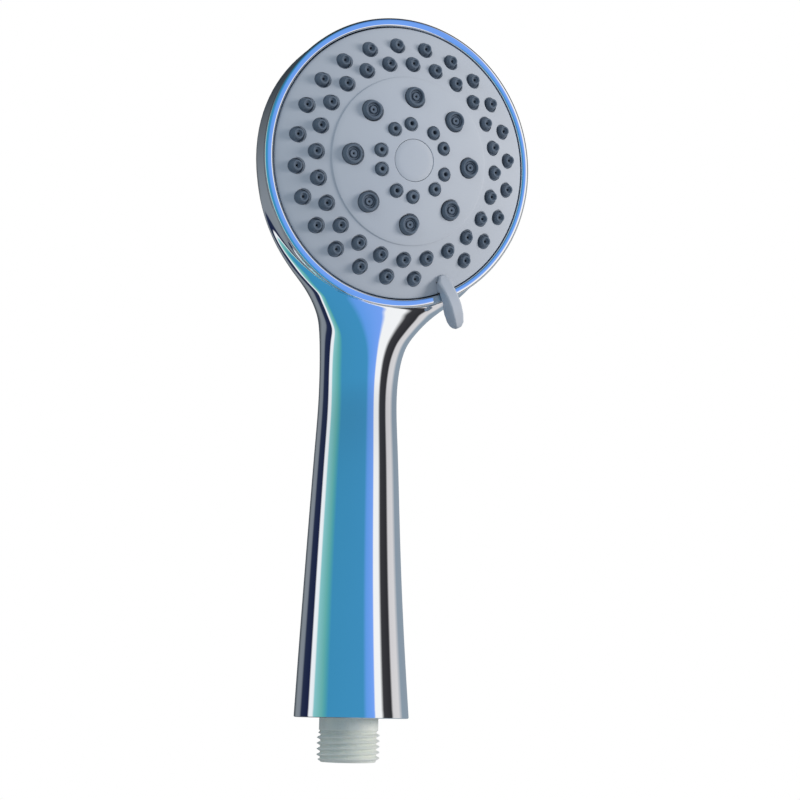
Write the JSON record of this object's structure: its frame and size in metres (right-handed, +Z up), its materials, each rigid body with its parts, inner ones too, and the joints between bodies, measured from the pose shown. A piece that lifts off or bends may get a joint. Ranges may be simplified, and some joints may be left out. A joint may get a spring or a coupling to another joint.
{
  "type": "handheld shower head",
  "caption": "Chrome hand shower with a round domed spray face, a side lever that turns the face between spray settings and a threaded hose inlet.",
  "frame": {"origin": "centre of the inlet's end face, where the hose washer seats", "axes": "+Z up the handle's axis, the spray face looks to -Y and slightly down, +X to the right as seen from the front"},
  "size_m": [0.1, 0.0684, 0.2532],
  "materials": {
    "chrome": "polished",
    "milky_plastic": "translucent satin",
    "steel": "plain",
    "white_plastic": "satin",
    "seal_rubber": "matte",
    "face_plastic": "satin",
    "nozzle_silicone": "satin silicone"
  },
  "bodies": {
    "handset": {"handle_shell": "chrome", "end_cap": "chrome", "trim_ring": "chrome", "inlet_tube": "milky_plastic", "inlet_screen": "steel", "flow_regulator": "white_plastic", "regulator_seal": "seal_rubber", "tube_seals": "seal_rubber", "water_housing": "white_plastic", "housing_lid": "white_plastic", "housing_seal": "seal_rubber", "housing_screws": "steel", "port_spring": "steel", "detent_spring": "steel", "centre_screw": "steel"},
    "spray_dial": {"face_plate": "face_plastic", "selector_lever": "face_plastic", "rain_nozzle_mat": "nozzle_silicone", "mist_nozzles": "nozzle_silicone", "mist_inserts": "nozzle_silicone", "massage_nozzle_mat": "nozzle_silicone", "chamber_plate": "white_plastic", "dial_seal": "seal_rubber", "centre_cap": "face_plastic", "screw_washer": "steel"},
    "turbine_wheel": {"turbine": "white_plastic"},
    "port_seal_cup": {"port_seal": "seal_rubber"},
    "detent_plunger": {"detent_pin": "white_plastic"}
  },
  "joints": [
    {"name": "selector_turn", "type": "hinge", "parent": "handset", "child": "spray_dial", "pos_m": [0, -0.0355, 0.201], "axis": [0, -0.9641, -0.2656], "range_deg": [-55, 0]},
    {"name": "turbine_spin", "type": "hinge", "parent": "spray_dial", "child": "turbine_wheel", "pos_m": [0, -0.0355, 0.201], "axis": [0, -0.9641, -0.2656], "continuous": true},
    {"name": "port_seal_float", "type": "slide", "parent": "handset", "child": "port_seal_cup", "axis": [0, -0.9641, -0.2656], "range_m": [-0.0006, 0], "stiffness_N_per_m": 800, "springref_m": 0.001, "deforming": ["port_spring"]},
    {"name": "detent_press", "type": "slide", "parent": "handset", "child": "detent_plunger", "axis": [0, -0.9641, -0.2656], "range_m": [-0.0008, 0], "stiffness_N_per_m": 500, "springref_m": 0.001, "deforming": ["detent_spring"]}
  ]
}
